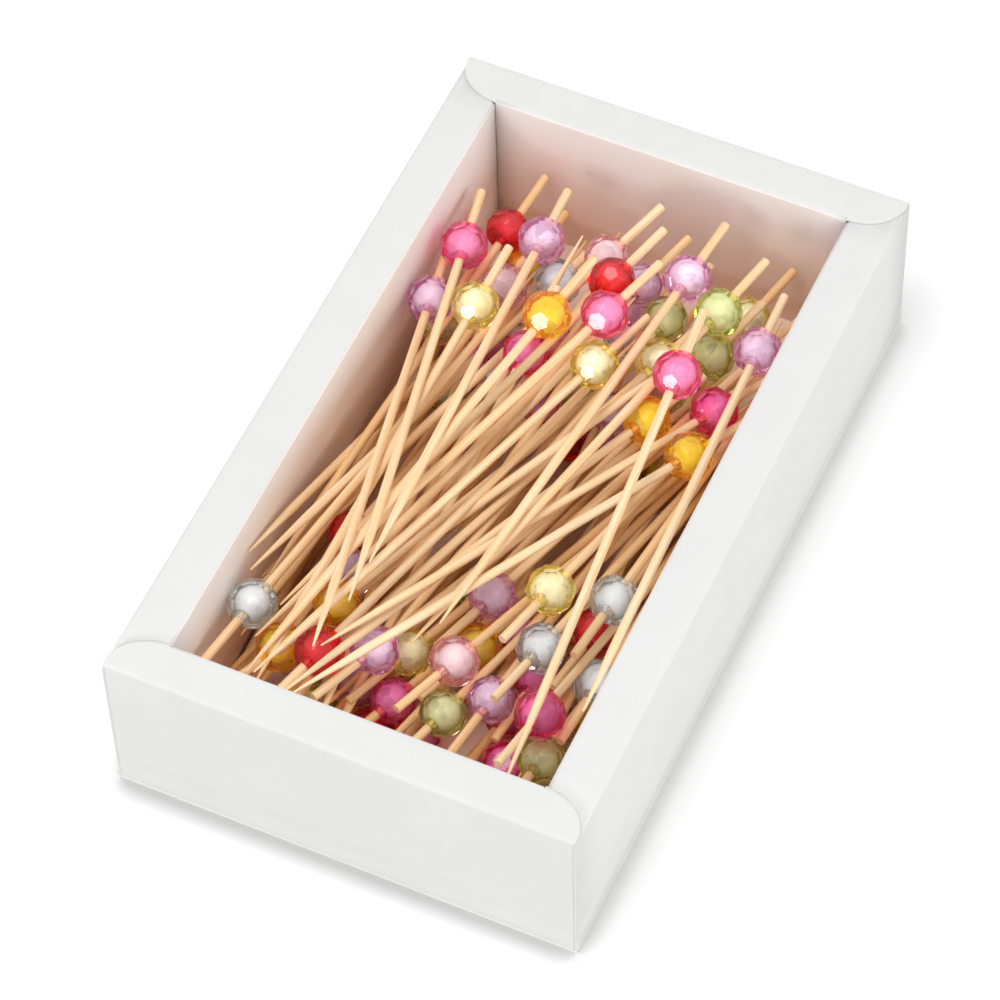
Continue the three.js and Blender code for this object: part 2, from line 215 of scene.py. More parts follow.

# Card: its clouds outside, painted paler at their foot, and painted lighter and warmer low inside,
# and its felt
CARD_OUTER = [(0.3, (0.718, 0.718, 0.706)), (0.7, (0.742, 0.742, 0.734))]
CARD_FOOT_PAINTED_LIGHT = [(0.3, (0.845, 0.845, 0.831)), (0.7, (0.87, 0.87, 0.861))]
CARD_INNER_PAINTED_LIGHT = [(0.3, (0.93, 0.88, 0.86)), (0.7, (0.95, 0.91, 0.89))]
CARD_INNER_PAINTED_BOUNCE = [(0.3, (0.975, 0.76, 0.65)), (0.7, (0.99, 0.79, 0.68))]
CARD_FELT = [(0.35, (0.975, 0.975, 0.97)), (0.6, (1, 1, 1))]

# Table, in metres: its colours, and the shadow where the tray meets it, which is deeper before
# the near end than beside the long walls
TABLE_HALF = 3.0
TABLE_COLOURS = [(0.3, (0.915, 0.915, 0.915)), (0.7, (0.925, 0.925, 0.925))]
TABLE_UNSEEN = (0.9, 0.9, 0.9, 1)
FLOOR_GLOW = 0.05
CONTACT_REACH = 0.008
CONTACT_SAMPLES = 16
CONTACT_BEFORE = [(0.5, (0.44, 0.44, 0.44)), (0.95, (1, 1, 1))]
CONTACT_BESIDE = [(0.5, (0.72, 0.72, 0.72)), (0.82, (1, 1, 1))]

# How far either side of the near end, in millimetres, one shadow turns into the other
CONTACT_TURN = 2.0

# The world's strength on the object and as the white background
WORLD_LIGHT = 0.71
WORLD_WHITE = 1.0

# Lamps: name, direction, distance and size in metres, and radiance
WINDOW_DIRECTION = Vector((-0.19, -0.95, 0.20)).normalized()
LAMPS = [
    ("softbox", Vector((-0.12, -0.18, 0.97)), 1.1, 0.5, 6.1),
    ("fill", Vector((0.92, -0.02, 0.38)), 1.2, 0.6, 3.2),
    ("window", WINDOW_DIRECTION, 1.2, 0.18, 20),
]
LAMP_AIM = Vector((0, 0, 0.03))

# Beads turned so that a facet mirrors the window, and the most that they tilt on their sticks
WINDOW_BEADS = [
    "rose_right",
    "rose_middle",
    "amber_top",
    "cream_left",
    "cream_middle",
    "magenta_right",
]
MOST_TILT = math.radians(1.5)

# Slots of two bead colours that have none of their own
SLOT_OF = {"ruby": "bead_magenta", "olive": "bead_green"}

# Beads of the buried picks that show in the photograph: pixels across and down, and colour
SEEN_BEADS = [
    (518, 264, "amber"),
    (509, 290, "blush"),
    (553, 282, "clear"),
    (606, 262, "blush"),
    (606, 285, "ruby"),
    (640, 288, "lilac"),
    (668, 322, "olive"),
    (757, 312, "cream"),
    (658, 362, "cream"),
    (722, 370, "olive"),
    (283, 647, "amber"),
    (315, 675, "ruby"),
    (411, 655, "cream"),
    (490, 652, "amber"),
    (393, 704, "magenta"),
    (528, 682, "magenta"),
    (603, 635, "ruby"),
    (543, 760, "olive"),
    (432, 705, "olive"),
    (540, 713, "magenta"),
    (586, 679, "clear"),
    (483, 697, "lilac"),
    (505, 226, "ruby"),
]

# How far in pixels a bead may lie from its spot, and the millimetres of height that a bead has
# to be higher by to make up for one of them, and the colours of the rest
SPOT_REACH = 26
HEIGHT_PER_PIXEL = 0.5
HIDDEN_COLOURS = ["amber", "cream", "lilac", "rose", "clear", "blush", "olive", "magenta", "ruby"]


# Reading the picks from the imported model


def corners_of(obj):
    """A mesh's corners in millimetres."""
    count = len(obj.data.vertices)
    values = np.empty(count * 3)
    obj.data.vertices.foreach_get("co", values)
    return values.reshape(-1, 3) / MM


def stick_pose(obj):
    """The bead's centre and the way to the blunt end, of a stick's mesh."""
    points = np.unique(np.round(corners_of(obj), 4), axis=0)
    middle = points.mean(axis=0)
    along = np.linalg.svd(points - middle)[2][0]
    place = (points - middle) @ along
    high = points[place > place.max() - END_SLAB]
    low = points[place < place.min() + END_SLAB]
    if high.std(axis=0).sum() < low.std(axis=0).sum():
        high, low = low, high
    blunt = high.mean(axis=0)
    direction = blunt - low.mean(axis=0)
    direction /= np.linalg.norm(direction)
    return blunt - BEAD_FROM_END * direction, direction


def flat_regions(obj):
    """Area, centre, normal and greatest radius of each flat face of a mesh of triangles."""
    points = corners_of(obj)
    obj.data.calc_loop_triangles()
    triangles = np.array([t.vertices[:] for t in obj.data.loop_triangles])
    corners = points[triangles]
    cross = np.cross(corners[:, 1] - corners[:, 0], corners[:, 2] - corners[:, 0])
    doubled = np.linalg.norm(cross, axis=1)
    kept = doubled > SLIVER
    corners, cross, doubled = corners[kept], cross[kept], doubled[kept]
    normals = cross / doubled[:, None]
    keys = np.round(corners.reshape(-1, 3) * STEPS_PER_MM).astype(np.int64)
    ids = np.unique(keys, axis=0, return_inverse=True)[1].reshape(-1, 3)
    by_edge = {}
    for i, (a, b, c) in enumerate(ids):
        for edge in ((a, b), (b, c), (c, a)):
            by_edge.setdefault((min(edge), max(edge)), []).append(i)
    beside = [[] for _ in ids]
    for shared in by_edge.values():
        for i in shared:
            beside[i].extend(j for j in shared if j != i)
    seen = np.zeros(len(ids), bool)
    found = []
    for first in np.argsort(-doubled):
        if seen[first]:
            continue
        seen[first] = True
        region, waiting = [], [first]
        while waiting:
            i = waiting.pop()
            region.append(i)
            for j in beside[i]:
                if seen[j]:
                    continue
                if np.abs((corners[j] - corners[first, 0]) @ normals[first]).max() < FLATNESS:
                    seen[j] = True
                    waiting.append(j)
        weight = doubled[region] / 2
        area = weight.sum()
        centre = (corners[region].mean(axis=1) * weight[:, None]).sum(axis=0) / area
        normal = (normals[region] * weight[:, None]).sum(axis=0)
        normal /= np.linalg.norm(normal)
        reach = np.linalg.norm(corners[region].reshape(-1, 3) - centre, axis=1).max()
        found.append((area, centre, normal, reach))
    return found


def six_sided(area, reach, radius):
    """True for a whole hexagon of that radius."""
    whole = 1.5 * math.sqrt(3) * radius * radius
    return abs(area - whole) < HEXAGON_ERROR * whole and reach < HEXAGON_REACH * radius


def heap_poses(obj):
    """Pose of each pick in the heap, from its blunt end or else from its tip."""
    poses = []
    regions = flat_regions(obj)
    for area, centre, normal, reach in regions:
        if six_sided(area, reach, STICK_RADIUS):
            poses.append((centre - BEAD_FROM_END * normal, normal))
    for area, centre, normal, reach in regions:
        if not six_sided(area, reach, SOLID_TIP_RADIUS):
            continue
        bead = centre - (PICK_LENGTH - BEAD_FROM_END) * normal
        if min(np.linalg.norm(bead - other) for other, _ in poses) > SAME_PICK:
            poses.append((bead, -normal))
    return poses


def in_photo(point):
    """Where a point in millimetres shows in the photograph."""
    ray = Vector(point) * MM - CAMERA_PLACE
    up = CAMERA_RIGHT.cross(CAMERA_FORWARD)
    scale = CAMERA_LENS / CAMERA_SENSOR * PHOTO_SIZE / ray.dot(CAMERA_FORWARD)
    half = PHOTO_SIZE / 2
    return half + scale * ray.dot(CAMERA_RIGHT), half - scale * ray.dot(up)


def colours_of(poses):
    """Colours of the heap's beads: the seen ones first, each to the highest bead at its spot."""
    colours = [None] * len(poses)
    spots = [in_photo(bead) for bead, _ in poses]
    for x, y, colour in SEEN_BEADS:
        near = {}
        for i, spot in enumerate(spots):
            off = math.dist(spot, (x, y))
            if colours[i] is None and off < SPOT_REACH:
                near[i] = poses[i][0][2] - off * HEIGHT_PER_PIXEL
        if near:
            colours[max(near, key=near.get)] = colour
    return [colour or chance.choice(HIDDEN_COLOURS) for colour in colours]


# Shapes, each a list of points and a list of faces, with the bead's centre at the origin
# and the blunt end up


def faceted_ball():
    """A ball of 12 five-sided and 20 six-sided facets, bored through two six-sided ones."""
    golden = (1 + math.sqrt(5)) / 2
    tips = []
    for a in (-1, 1):
        for b in (-golden, golden):
            tips += [Vector((0, a, b)), Vector((a, b, 0)), Vector((b, 0, a))]
    mesh = bmesh.new()
    for p in tips:
        for q in tips:
            if p is not q and (p - q).length < NEIGHBOUR_LIMIT:
                mesh.verts.new(p.lerp(q, 1 / 3).normalized())
    bmesh.ops.convex_hull(mesh, input=mesh.verts[:])
    verts, edges = mesh.verts[:], mesh.edges[:]
    bmesh.ops.dissolve_limit(mesh, angle_limit=FLAT_ANGLE, verts=verts, edges=edges)
    pole = next(f for f in mesh.faces if len(f.verts) == 6).calc_center_median()
    turn = pole.rotation_difference(Vector((0, 0, 1))).to_matrix()
    bmesh.ops.rotate(mesh, cent=(0, 0, 0), matrix=turn, verts=mesh.verts[:])
    bmesh.ops.scale(mesh, vec=(BEAD_RADIUS,) * 3, verts=mesh.verts[:])
    bmesh.ops.bevel(
        mesh,
        geom=mesh.edges[:],
        offset=EDGE_SOFTNESS,
        segments=1,
        affect="EDGES",
        profile=0.5,
    )
    mesh.normal_update()
    ends = [f for f in mesh.faces if len(f.verts) == 6 and abs(f.normal.z) > UPRIGHT]
    rings = [bore_ring(mesh, face) for face in ends]
    low, high = sorted(rings, key=lambda ring: ring[0].co.z)
    for i in range(BORE_SIDES):
        j = (i + 1) % BORE_SIDES
        mesh.faces.new((low[i], low[j], high[j], high[i]))
    bmesh.ops.recalc_face_normals(mesh, faces=mesh.faces[:])
    mesh.verts.index_update()
    shape = [v.co.copy() for v in mesh.verts], [[v.index for v in f.verts] for f in mesh.faces]
    mesh.free()
    return shape


def bore_ring(mesh, face):
    """Opens a six-sided face to a round hole and returns the hole's corners in turn."""
    corners = sorted(face.verts, key=lambda v: math.atan2(v.co.y, v.co.x))
    height = face.calc_center_median().z
    start = math.atan2(corners[0].co.y, corners[0].co.x)
    ring = []
    for i in range(BORE_SIDES):
        angle = start + math.tau * i / BORE_SIDES
        spot = (BORE_RADIUS * math.cos(angle), BORE_RADIUS * math.sin(angle), height)
        ring.append(mesh.verts.new(spot))
    bmesh.ops.delete(mesh, geom=[face], context="FACES_ONLY")
    step = BORE_SIDES // 6
    for k in range(6):
        here, there = corners[k], corners[(k + 1) % 6]
        arc = [ring[(k * step + i) % BORE_SIDES] for i in range(step + 1)]
        for i in range(step // 2):
            mesh.faces.new((here, arc[i + 1], arc[i]))
        mesh.faces.new((here, there, arc[step // 2]))
        for i in range(step // 2, step):
            mesh.faces.new((there, arc[i + 1], arc[i]))
    first = min(range(BORE_SIDES), key=lambda i: angle_from(ring[i].co))
    return ring[first:] + ring[:first]


def angle_from(point):
    """A point's angle about Z, from 0 to a whole turn."""
    return math.atan2(point.y, point.x) % math.tau


def lathe(profile, sides, closed=False):
    """Turns (radius, height) pairs about Z. Open profiles get flat caps."""
    points, faces = [], []
    for radius, height in profile:
        for i in range(sides):
            angle = math.tau * i / sides
            points.append(Vector((radius * math.cos(angle), radius * math.sin(angle), height)))
    rows = len(profile)
    for row in range(rows if closed else rows - 1):
        a, b = row * sides, (row + 1) % rows * sides
        for i in range(sides):
            j = (i + 1) % sides
            faces.append([a + i, a + j, b + j, b + i])
    if not closed:
        faces.append(list(reversed(range(sides))))
        faces.append([(rows - 1) * sides + i for i in range(sides)])
    return points, faces


def core_ball():
    """The milky core, bored a little wider than the bead so that it lies inside the plastic."""
    edge = math.asin((BORE_RADIUS + CORE_CLEARANCE) / CORE_RADIUS)
    profile = []
    for i in range(CORE_ROWS + 1):
        angle = edge + (math.pi - 2 * edge) * i / CORE_ROWS
        profile.append((CORE_RADIUS * math.sin(angle), -CORE_RADIUS * math.cos(angle)))
    return lathe(profile, CORE_SIDES, closed=True)


def stick_shape():
    """A stick with a flat cut end and a long point, each a little different."""
    low = BEAD_FROM_END - PICK_LENGTH
    taper = TAPER_LENGTH * chance.uniform(LEAST_TAPER, 1.0)
    profile = [(TIP_RADIUS, low)]
    for share in TAPER_SHARES:
        swell = TAPER_SWELL * math.sin(math.pi * share)
        radius = TIP_RADIUS + (STICK_RADIUS - TIP_RADIUS) * (share + swell)
        profile.append((min(radius, STICK_RADIUS), low + taper * share))
    for height in (*SHAFT_HEIGHTS, BEAD_FROM_END - END_CHAMFER):
        profile.append((STICK_RADIUS, height))
    profile.append((STICK_RADIUS - END_CHAMFER, BEAD_FROM_END))
    points, faces = lathe(profile, STICK_SIDES)
    phase = chance.uniform(0, math.tau)
    oval = chance.uniform(0.0, MOST_OVAL)
    for p in points:
        stretch = 1 + oval * (math.cos(2 * math.atan2(p.y, p.x) + phase) - 1)
        p.x *= stretch
        p.y *= stretch
    return points, faces


# Making pieces


def pose_matrix(bead, direction, spin=0.0):
    """Puts a shape's origin at the bead and its up along the direction, after a spin about up."""
    turn = Vector((0, 0, 1)).rotation_difference(Vector(direction)).to_matrix().to_4x4()
    move = Matrix.Translation(Vector(bead))
    return move @ turn @ Matrix.Rotation(spin, 4, "Z")


def new_mesh(name, parts, smooth_under=None):
    """One mesh from (matrix, points, faces, shade) parts. Grain follows each part's own axes."""
    corners, faces, grain, shades = [], [], [], []
    for matrix, points, part_faces, shade in parts:
        start = len(corners)
        corners += [(matrix @ p) * MM for p in points]
        faces += [[start + i for i in face] for face in part_faces]
        grain += [p + Vector((0, 0, GRAIN_SHIFT * shade)) for p in points]
        shades += [shade] * len(points)
    mesh = bpy.data.meshes.new(name)
    mesh.from_pydata(corners, [], faces)
    mesh.attributes.new("grain", "FLOAT_VECTOR", "POINT").data.foreach_set(
        "vector", np.array(grain).ravel()
    )
    mesh.attributes.new("shade", "FLOAT", "POINT").data.foreach_set("value", shades)
    if smooth_under is not None:
        mesh.polygons.foreach_set("use_smooth", [True] * len(mesh.polygons))
        mesh.set_sharp_from_angle(angle=math.radians(smooth_under))
    mesh.update()
    return mesh


def add_piece(name, mesh, material, body, slot, *nodes):
    """Shows a mesh that rides on a body and stands for the nodes, where any are named."""
    piece = bpy.data.objects.new(name, mesh)
    bpy.context.scene.collection.objects.link(piece)
    mesh.materials.append(material)
    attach(piece, body)
    if nodes:
        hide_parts(*nodes)
    return piece


# Materials


def new_material(name):
    material = bpy.data.materials.new(name)
    material.use_nodes = True
    tree = material.node_tree
    tree.nodes.clear()
    output = tree.nodes.new("ShaderNodeOutputMaterial")
    return material, tree, output


def node(tree, kind, **values):
    """A new node. Each value goes to the socket of its name, or else to the node itself."""
    made = tree.nodes.new(kind)
    for key, value in values.items():
        if key in made.inputs:
            made.inputs[key].default_value = value
        else:
            setattr(made, key, value)
    return made


def link(tree, source, target):
    tree.links.new(source, target)


def ramp(tree, source, stops):
    """Colours for a share, from stops of (place, colour)."""
    made = tree.nodes.new("ShaderNodeValToRGB")
    band = made.color_ramp
    while len(band.elements) < len(stops):
        band.elements.new(0.5)
    for element, (place, colour) in zip(band.elements, stops):
        element.position = place
        element.color = (*colour, 1)
    link(tree, source, made.inputs["Fac"])
    return made.outputs["Color"]


def noise(tree, vector, scale, detail=3.0, roughness=0.5):
    made = node(tree, "ShaderNodeTexNoise", Scale=scale, Detail=detail, Roughness=roughness)
    link(tree, vector, made.inputs["Vector"])
    return made.outputs["Fac"]


def stretched(tree, vector, scale):
    made = node(tree, "ShaderNodeMapping", Scale=scale)
    link(tree, vector, made.inputs["Vector"])
    return made.outputs["Vector"]


def mixed(tree, kind, factor, a, b):
    """A colour mixed from two. The node's sockets for it are told apart by number only."""
    made = node(tree, "ShaderNodeMix", data_type="RGBA", blend_type=kind)
    for value, socket in ((factor, made.inputs[0]), (a, made.inputs[6]), (b, made.inputs[7])):
        if isinstance(value, bpy.types.NodeSocket):
            link(tree, value, socket)
        else:
            socket.default_value = value
    return made.outputs[2]


def chosen(tree, factor, first, second):
    """A shader mixed from two: the first at factor 0, and the second at 1."""
    made = tree.nodes.new("ShaderNodeMixShader")
    if isinstance(factor, bpy.types.NodeSocket):
        link(tree, factor, made.inputs["Fac"])
    else:
        made.inputs["Fac"].default_value = factor
    link(tree, first, made.inputs[1])
    link(tree, second, made.inputs[2])
    return made.outputs["Shader"]


def low_share(tree, height, top, full):
    """0 above a height in millimetres, and 1 below a lower one."""
    share = node(tree, "ShaderNodeMapRange", interpolation_type="SMOOTHSTEP")
    for socket, value in (
        ("From Min", top * MM),
        ("From Max", full * MM),
        ("To Min", 0.0),
        ("To Max", 1.0),
    ):
        share.inputs[socket].default_value = value
    link(tree, height, share.inputs["Value"])
    return share.outputs["Result"]


def place_on(tree):
    """A point's place, in the object's own axes."""
    return node(tree, "ShaderNodeTexCoord").outputs["Object"]


def axes_of(tree, place):
    split = node(tree, "ShaderNodeSeparateXYZ")
    link(tree, place, split.inputs["Vector"])
    return split.outputs


def bump(tree, height, strength, distance):
    made = node(tree, "ShaderNodeBump", Strength=strength, Distance=distance)
    link(tree, height, made.inputs["Height"])
    return made.outputs["Normal"]


def bamboo_material():
    """Pale wood with fibres, darker streaks, a tone of its own for each stick, and painted shade
    low in the heap.
    """
    material, tree, output = new_material("bamboo")
    grain = node(tree, "ShaderNodeAttribute", attribute_name="grain").outputs["Vector"]
    shade = node(tree, "ShaderNodeAttribute", attribute_name="shade").outputs["Fac"]
    fibres = noise(tree, stretched(tree, grain, FIBRE_SCALE), 1.0, detail=4.0, roughness=0.6)
    streaks = noise(tree, stretched(tree, grain, STREAK_SCALE), 1.0, detail=2.0)
    patches = noise(tree, stretched(tree, grain, PATCH_SCALE), 1.0, detail=1.0)
    # Painted shade: lower in the heap the sticks are painted deeper and warmer in colour
    low = low_share(tree, axes_of(tree, place_on(tree))["Z"], SHADE_PAINT_TOP, SHADE_PAINT_FULL)
    wood = ramp(tree, fibres, FIBRE_COLOURS)
    wood = mixed(tree, "MULTIPLY", STREAK_SHARE, wood, ramp(tree, streaks, STREAK_COLOURS))
    wood = mixed(tree, "MULTIPLY", PATCH_SHARE, wood, ramp(tree, patches, PATCH_COLOURS))
    wood = mixed(tree, "MULTIPLY", 1.0, wood, ramp(tree, shade, STICK_TONES))
    wood = mixed(tree, "MULTIPLY", 1.0, wood, ramp(tree, low, PAINTED_SHADE_COLOURS))
    shader = node(tree, "ShaderNodeBsdfPrincipled", Roughness=0.62)
    shader.inputs["Specular IOR Level"].default_value = 0.35
    link(tree, wood, shader.inputs["Base Color"])
    normal = bump(tree, fibres, strength=0.35, distance=0.00008)
    link(tree, normal, shader.inputs["Normal"])
    link(tree, shader.outputs["BSDF"], output.inputs["Surface"])
    return material


def bead_material(colour):
    """Clear tinted plastic. Lamps reach through it, and it drinks light along the way."""
    material, tree, output = new_material("bead_" + colour)
    place = place_on(tree)
    waves = noise(tree, place, 260.0, detail=2.0)
    clear = node(tree, "ShaderNodeBsdfPrincipled", Roughness=0.015, IOR=1.49)
    clear.inputs["Base Color"].default_value = (1, 1, 1, 1)
    clear.inputs["Transmission Weight"].default_value = 1.0
    clear.inputs["Specular IOR Level"].default_value = 0.85
    normal = bump(tree, waves, strength=0.015, distance=0.0001)
    link(tree, normal, clear.inputs["Normal"])
    deep = HAZES[colour]
    pale = tuple(HAZE_WHITE + (1 - HAZE_WHITE) * c for c in deep)
    cloud = noise(tree, place, 140.0, detail=2.0)
    tint = ramp(tree, cloud, [(HAZE_FROM, deep), (HAZE_TO, pale)])
    haze = node(tree, "ShaderNodeBsdfTranslucent")
    link(tree, tint, haze.inputs["Color"])
    sheen = node(tree, "ShaderNodeBsdfDiffuse")
    link(tree, tint, sheen.inputs["Color"])
    milky = chosen(tree, 0.5, haze.outputs["BSDF"], sheen.outputs["BSDF"])
    plastic = chosen(tree, HAZE_SHARE, clear.outputs["BSDF"], milky)
    through = node(tree, "ShaderNodeBsdfTransparent").outputs["BSDF"]
    in_shadow = node(tree, "ShaderNodeLightPath").outputs["Is Shadow Ray"]
    link(tree, chosen(tree, in_shadow, plastic, through), output.inputs["Surface"])
    drinks = TINTS[colour]
    most = max(drinks) * DENSITY_OVER_MOST
    volume = node(tree, "ShaderNodeVolumeAbsorption", Density=most / MM)
    volume.inputs["Color"].default_value = (*(1 - d / most for d in drinks), 1)
    link(tree, volume.outputs["Volume"], output.inputs["Volume"])
    return material


def core_material():
    """Milky white with soft darker patches."""
    material, tree, output = new_material("bead_core")
    place = place_on(tree)
    milk = ramp(tree, noise(tree, place, 420.0), CORE_MILK)
    cells = node(tree, "ShaderNodeTexVoronoi", Scale=560.0)
    link(tree, place, cells.inputs["Vector"])
    patches = ramp(tree, cells.outputs["Color"], CORE_PATCHES)
    shader = node(tree, "ShaderNodeBsdfPrincipled", Roughness=0.4)
    link(tree, mixed(tree, "MULTIPLY", 1.0, milk, patches), shader.inputs["Base Color"])
    link(tree, shader.outputs["BSDF"], output.inputs["Surface"])
    return material


def inside_share(tree, axes):
    """1 on the tray's inner faces, and 0 on the outer ones."""
    both = node(tree, "ShaderNodeMath", operation="MULTIPLY")
    for i, (axis, reach) in enumerate((("X", INNER_X), ("Y", INNER_Y))):
        size = node(tree, "ShaderNodeMath", operation="ABSOLUTE")
        link(tree, axes[axis], size.inputs[0])
        within = node(tree, "ShaderNodeMath", operation="LESS_THAN")
        within.inputs[1].default_value = (reach + CARD / 2) * MM
        link(tree, size.outputs["Value"], within.inputs[0])
        link(tree, within.outputs["Value"], both.inputs[i])
    return both.outputs["Value"]


def card_material():
    """Matt white card with fine felt, painted paler at its foot outside, and painted lighter
    inside with warm bounce light and shade low down.
    """
    material, tree, output = new_material("card")
    place = place_on(tree)
    axes = axes_of(tree, place)
    felt = noise(tree, place, 2400.0, detail=4.0, roughness=0.65)
    clouds = noise(tree, place, 60.0, roughness=0.6)
    # Painted light: the outer faces are painted paler towards their foot
    painted_foot_light = low_share(tree, axes["Z"], FOOT_LIGHT_TOP, FOOT_LIGHT_FULL)
    # Painted light: the inner faces are painted lighter than the outer ones, with warm bounce
    # light and shade painted in low down
    low = low_share(tree, axes["Z"], BOUNCE_PAINT_TOP, BOUNCE_PAINT_FULL)
    outer = mixed(tree, "MIX", painted_foot_light, ramp(tree, clouds, CARD_OUTER), ramp(tree, clouds, CARD_FOOT_PAINTED_LIGHT))
    inner = mixed(tree, "MIX", low, ramp(tree, clouds, CARD_INNER_PAINTED_LIGHT), ramp(tree, clouds, CARD_INNER_PAINTED_BOUNCE))
    # Painted light: the inner faces take the lighter, warmer painted colours
    paper = mixed(tree, "MIX", inside_share(tree, axes), outer, inner)
    paper = mixed(tree, "MULTIPLY", 1.0, paper, ramp(tree, felt, CARD_FELT))
    shader = node(tree, "ShaderNodeBsdfPrincipled", Roughness=0.78)
    shader.inputs["Specular IOR Level"].default_value = 0.3
    link(tree, paper, shader.inputs["Base Color"])
    normal = bump(tree, felt, strength=0.18, distance=0.00005)
    link(tree, normal, shader.inputs["Normal"])
    link(tree, shader.outputs["BSDF"], output.inputs["Surface"])
    return material


# Picks

BALL = faceted_ball()
CORE_BALL = core_ball()
BAMBOO = bamboo_material()
MILKY = core_material()
WHITE_CARD = card_material()
BEADS = {colour: bead_material(colour) for colour in TINTS}


def window_turn(bead, direction):
    """Turn of a ball about its stick, and a slight tilt on it, so that a facet mirrors the
    window. Only facets on the point's side of the ball are tried."""
    to_camera = (CAMERA_PLACE / MM - Vector(bead)).normalized()
    halfway = (to_camera + WINDOW_DIRECTION).normalized()
    local = pose_matrix((0, 0, 0), direction).to_3x3().inverted() @ halfway
    points, faces = BALL
    best = None
    for face in faces:
        if len(face) not in (5, 6):
            continue
        centre = sum((points[i] for i in face), Vector()) / len(face)
        if centre.z > 0:
            continue
        spin = math.atan2(local.y, local.x) - math.atan2(centre.y, centre.x)
        facing = Matrix.Rotation(spin, 3, "Z") @ centre.normalized()
        if best is None or facing.dot(local) > best[0].dot(local):
            best = (facing, spin)
    facing, spin = best
    tilt = Matrix.Rotation(min(facing.angle(local), MOST_TILT), 4, facing.cross(local))
    return tilt @ Matrix.Rotation(spin, 4, "Z")


def add_pick(name, body):
    """The stick, ball and core of one of the upper picks."""
    stick_node = name + "_stick"
    bead, direction = stick_pose(frame["nodes"][stick_node])
    shade = chance.random()
    matrix = pose_matrix(bead, direction, chance.uniform(0, math.tau))
    mesh = new_mesh(name + "_bamboo", [(matrix, *stick_shape(), shade)], SMOOTH_STICK)
    add_piece(name + "_bamboo", mesh, BAMBOO, body, "bamboo", stick_node)
    if name in WINDOW_BEADS:
        matrix = pose_matrix(bead, direction) @ window_turn(bead, direction)
    shell_node = name + "_bead_shell"
    if shell_node not in frame["nodes"]:
        shell_node = name + "_bead"
    slot = slot_of_node[shell_node]
    plastic = BEADS[slot.removeprefix("bead_")]
    ball = new_mesh(name + "_clear_ball", [(matrix, *BALL, shade)])
    add_piece(name + "_clear_ball", ball, plastic, body, slot, shell_node)
    core_node = name + "_bead_core"
    core_nodes = [core_node] if core_node in frame["nodes"] else []
    core = new_mesh(name + "_milky_core", [(matrix, *CORE_BALL, shade)], SMOOTH_CORE)
    add_piece(name + "_milky_core", core, MILKY, body, "bead_core", *core_nodes)


def add_heap(node_names, body):
    """The buried picks: one piece for all sticks, one for all cores and one for each colour."""
    poses = [pose for name in node_names for pose in heap_poses(frame["nodes"][name])]
    sticks, cores, balls = [], [], {}
    for (bead, direction), colour in zip(poses, colours_of(poses)):
        room = BEAD_RADIUS
        for other, _ in poses:
            apart = np.linalg.norm(bead - other)
            if apart > SAME_PLACE:
                room = min(room, apart / 2 - HALF_BEAD_GAP)
        size = max(room, LEAST_BEAD_RADIUS) / BEAD_RADIUS
        shade = chance.random()
        matrix = pose_matrix(bead, direction, chance.uniform(0, math.tau))
        sticks.append((matrix, *stick_shape(), shade))
        points, faces = BALL
        drawn = [p * size for p in points]
        balls.setdefault(colour, []).append((matrix, drawn, faces, shade))
        cores.append((matrix, *CORE_BALL, shade))
    mesh = new_mesh("buried_bamboo", sticks, SMOOTH_STICK)
    add_piece("buried_bamboo", mesh, BAMBOO, body, "bamboo", *node_names)
    for colour, parts in sorted(balls.items()):
        name = "buried_balls_" + colour
        slot = SLOT_OF.get(colour, "bead_" + colour)
        add_piece(name, new_mesh(name, parts), BEADS[colour], body, slot, *node_names)
    mesh = new_mesh("buried_cores", cores, SMOOTH_CORE)
    add_piece("buried_cores", mesh, MILKY, body, "bead_core", *node_names)


slot_of_node = {s["node"]: s["material_slot"] for s in frame["record"]["subparts"]}
body_of_node = {}
for body_name, members in frame["record"]["behaviour"]["bodies"].items():
    for member in members:
        body_of_node[member] = body_name

for node_name in sorted(frame["nodes"]):
    if node_name.endswith("_stick"):
        add_pick(node_name.removesuffix("_stick"), body_of_node[node_name])
heap_nodes = [name for name in sorted(frame["nodes"]) if name.startswith("buried_picks")]
add_heap(heap_nodes, body_of_node[heap_nodes[0]])


# Tray


def spread(start, end, steps):
    """Even steps from start to end, both included."""
    return [start + (end - start) * i / steps for i in range(steps + 1)]


def fold_profile(rim, top):
    """(in from the outer face, height) up the outer face, over the rim and down inside."""
    r = CREASE_RADIUS
    arc = spread(0, math.pi / 2, ARC_STEPS)[1:]
    up = [(0.0, z) for z in spread(CARD, top - r, WALL_STEPS)]
    outer = [(r - r * math.cos(a), top - r + r * math.sin(a)) for a in arc]
    flat = [(t, top) for t in spread(r, rim - r, RIM_STEPS)[1:]]
    inner = [(rim - r + r * math.sin(a), top - r + r * math.cos(a)) for a in arc]
    down = [(rim, z) for z in spread(top - r, CARD, WALL_STEPS)[1:]]
    return up, outer, flat, inner, down


def grid_faces(rows):
    """Four-sided faces between rows of corners."""
    faces = []
    for row, after in zip(rows, rows[1:]):
        for i in range(len(row) - 1):
            faces.append([row[i], row[i + 1], after[i + 1], after[i]])
    return faces


def add_card(name, points, faces, node_name, turned):
    """A folded sheet with the card's thickness, turned half round for the opposite wall."""
    matrix = Matrix.Rotation(math.pi, 4, "Z") if turned else Matrix.Identity(4)
    mesh = new_mesh(name, [(matrix, points, faces, CARD_SHADE)], SMOOTH_CARD)
    piece = add_piece(name, mesh, WHITE_CARD, "tray", "card", node_name)
    body = bmesh.new()
    body.from_mesh(mesh)
    bmesh.ops.remove_doubles(body, verts=body.verts[:], dist=SAME_CORNER * MM)
    bmesh.ops.recalc_face_normals(body, faces=body.faces[:])
    body.to_mesh(mesh)
    body.free()
    thick = piece.modifiers.new("card", "SOLIDIFY")
    thick.thickness = CARD * MM
    thick.offset = -1
    thick.use_even_offset = True


